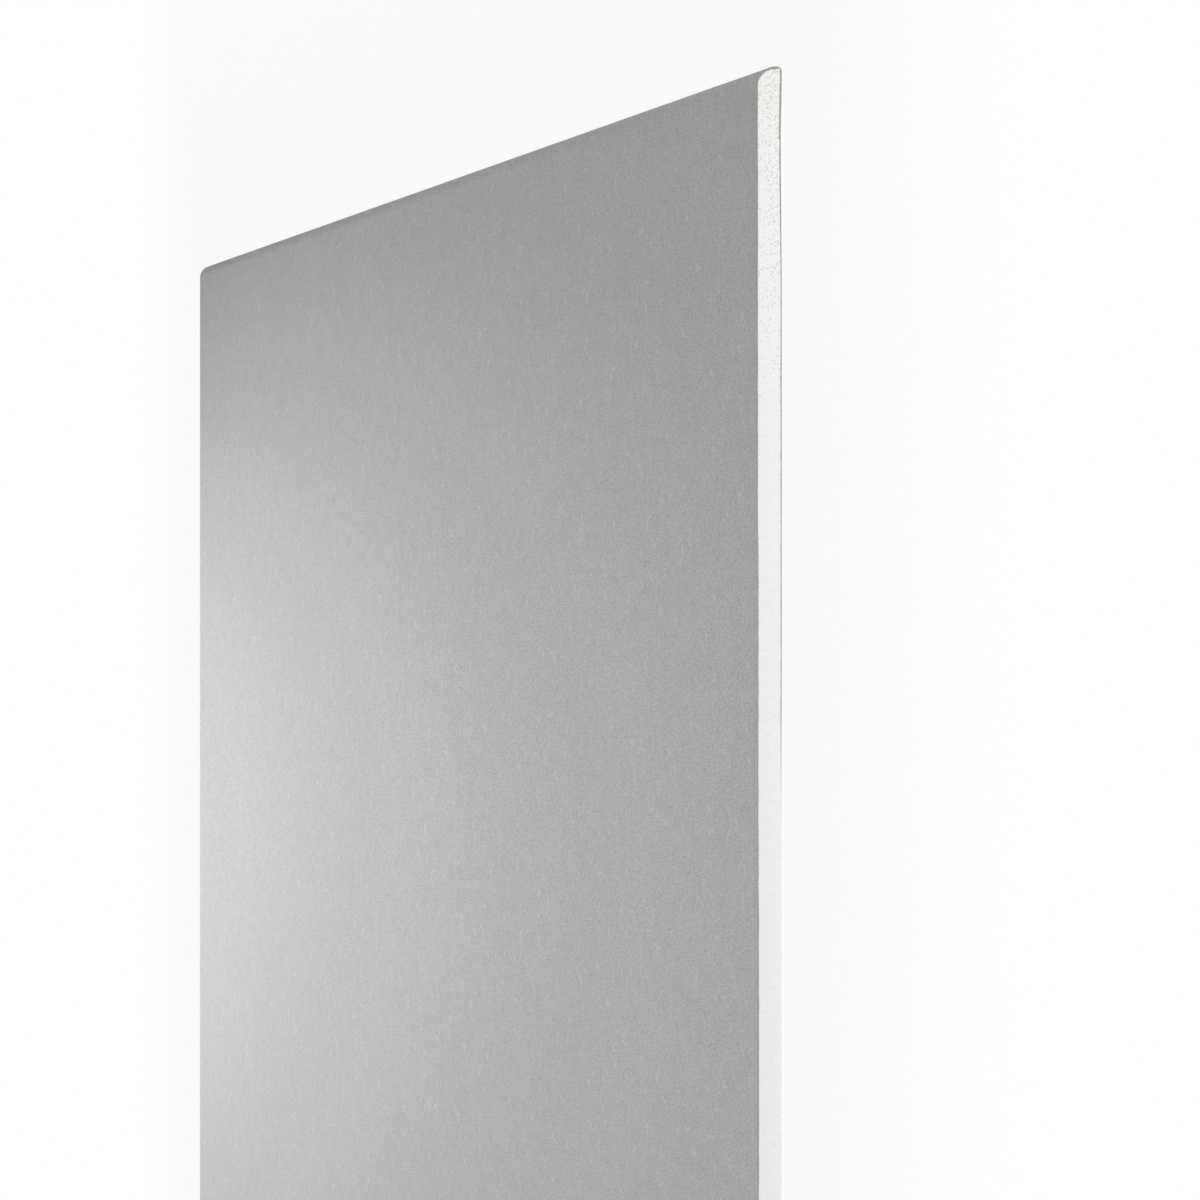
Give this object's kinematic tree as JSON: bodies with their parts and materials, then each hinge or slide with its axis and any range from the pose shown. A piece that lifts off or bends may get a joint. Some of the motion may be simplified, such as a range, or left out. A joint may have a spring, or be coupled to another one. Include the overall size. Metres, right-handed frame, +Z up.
{
  "type": "drywall sheet",
  "caption": "Full flat sheet of gypsum plasterboard: white core between grey papers, half-round long edges with the face paper turned under, and cut short ends.",
  "frame": {"origin": "centre of the sheet's plan, on the surface that its back lies on", "axes": "+X along the sheet's length, +Y across it from long edge to long edge, +Z up out of the face"},
  "size_m": [2, 1.25, 0.0125],
  "materials": {
    "gypsum": "matte, chalky",
    "face_paper": "matte grey board liner",
    "back_paper": "matte grey-brown recycled board liner"
  },
  "bodies": {
    "root": {"gypsum_core": "gypsum", "face_paper": "face_paper", "back_paper": "back_paper"}
  },
  "joints": []
}
